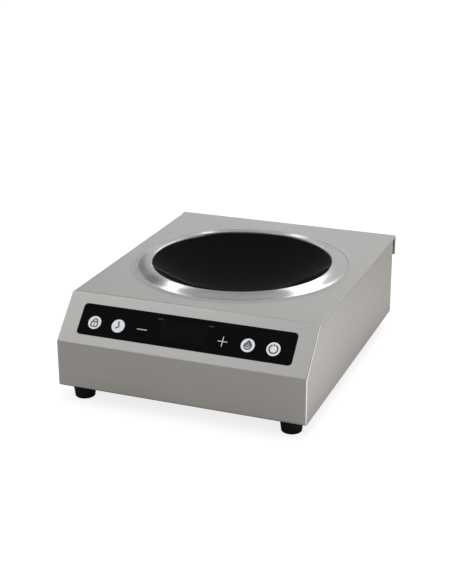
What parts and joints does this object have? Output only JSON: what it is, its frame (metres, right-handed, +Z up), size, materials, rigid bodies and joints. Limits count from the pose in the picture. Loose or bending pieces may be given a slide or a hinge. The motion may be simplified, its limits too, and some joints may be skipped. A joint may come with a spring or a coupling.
{
  "type": "induction hob",
  "caption": "Countertop induction hob for a wok: stainless casing with a sloped key strip, a dished black glass plate in a raised trim ring, and feet.",
  "frame": {"origin": "on the worktop, under the middle of the hob, lip included", "axes": "+Z up, +Y from the control strip towards the back, +X to the right as the cook faces it"},
  "size_m": [0.34, 0.422, 0.1396],
  "materials": {
    "brushed_steel": "fine brushed stainless steel",
    "polished_steel": "spun and polished stainless steel",
    "galvanised": "galvanised steel sheet",
    "glass_ceramic": "polished black glass-ceramic, opaque",
    "silicone": "matt silicone",
    "rubber": "matt black rubber",
    "mica": "pressed mica and ceramic fibre",
    "copper": "varnished copper litz wire",
    "black_plastic": "black moulded plastic",
    "ferrite": "sintered ferrite",
    "aluminium": "plain aluminium",
    "ceramic": "unglazed ceramic",
    "capacitor": "blue film capacitor case",
    "circuit_board": "green solder mask",
    "fascia": "glossy black acrylic",
    "key_white": "white moulded plastic",
    "cable": "grey ribbon cable"
  },
  "bodies": {
    "hob": {"outer_casing": "brushed_steel", "rear_panel": "brushed_steel", "bowl_support_ring": "brushed_steel", "trim_ring": "polished_steel", "rear_screw_low_left": "polished_steel", "rear_screw_low_right": "polished_steel", "rear_screw_high_left": "polished_steel", "rear_screw_high_right": "polished_steel", "base_plate": "galvanised", "foot_screw_front_left": "galvanised", "foot_front_left": "rubber", "foot_screw_front_right": "galvanised", "foot_front_right": "rubber", "foot_screw_rear_left": "galvanised", "foot_rear_left": "rubber", "foot_screw_rear_right": "galvanised", "foot_rear_right": "rubber", "glass_bowl": "glass_ceramic", "bowl_gasket": "silicone", "insulation_pad": "mica", "induction_coil": "copper", "coil_lead_inner": "copper", "coil_lead_outer": "copper", "filter_choke": "copper", "coil_former": "black_plastic", "ferrite_bar_1": "ferrite", "ferrite_bar_2": "ferrite", "ferrite_bar_3": "ferrite", "ferrite_bar_4": "ferrite", "ferrite_bar_5": "ferrite", "ferrite_bar_6": "ferrite", "coil_frame": "aluminium", "heat_sink": "aluminium", "temperature_sensor": "ceramic", "terminal_block": "ceramic", "sensor_holder": "black_plastic", "power_transistor_left": "black_plastic", "power_transistor_right": "black_plastic", "bridge_rectifier": "black_plastic", "cable_gland": "black_plastic", "gland_locknut": "black_plastic", "fan_frame_left": "black_plastic", "fan_frame_right": "black_plastic", "air_duct": "black_plastic", "display_module": "black_plastic", "buzzer": "black_plastic", "dc_link_capacitor": "capacitor", "resonant_capacitor": "capacitor", "power_board": "circuit_board", "control_board": "circuit_board", "control_fascia": "fascia", "ribbon_cable": "cable"},
    "fan_rotor_left": {"fan_rotor_left": "black_plastic"},
    "fan_rotor_right": {"fan_rotor_right": "black_plastic"},
    "key_lock": {"key_lock": "key_white"},
    "key_timer": {"key_timer": "key_white"},
    "key_minus": {"key_minus": "fascia"},
    "key_plus": {"key_plus": "fascia"},
    "key_heat": {"key_heat": "key_white"},
    "key_power": {"key_power": "key_white"}
  },
  "joints": [
    {"name": "fan_left_spin", "type": "hinge", "parent": "hob", "child": "fan_rotor_left", "pos_m": [-0.044, -0.13, 0.036], "axis": [0, 0, 1], "continuous": true},
    {"name": "fan_right_spin", "type": "hinge", "parent": "hob", "child": "fan_rotor_right", "pos_m": [0.044, -0.13, 0.036], "axis": [0, 0, 1], "continuous": true},
    {"name": "key_lock_press", "type": "slide", "parent": "hob", "child": "key_lock", "axis": [0, 0.7174, -0.6967], "range_m": [0, 0.0005], "stiffness_N_per_m": 1500},
    {"name": "key_timer_press", "type": "slide", "parent": "hob", "child": "key_timer", "axis": [0, 0.7174, -0.6967], "range_m": [0, 0.0005], "stiffness_N_per_m": 1500},
    {"name": "key_minus_press", "type": "slide", "parent": "hob", "child": "key_minus", "axis": [0, 0.7174, -0.6967], "range_m": [0, 0.0005], "stiffness_N_per_m": 1500},
    {"name": "key_plus_press", "type": "slide", "parent": "hob", "child": "key_plus", "axis": [0, 0.7174, -0.6967], "range_m": [0, 0.0005], "stiffness_N_per_m": 1500},
    {"name": "key_heat_press", "type": "slide", "parent": "hob", "child": "key_heat", "axis": [0, 0.7174, -0.6967], "range_m": [0, 0.0005], "stiffness_N_per_m": 1500},
    {"name": "key_power_press", "type": "slide", "parent": "hob", "child": "key_power", "axis": [0, 0.7174, -0.6967], "range_m": [0, 0.0005], "stiffness_N_per_m": 1500}
  ]
}
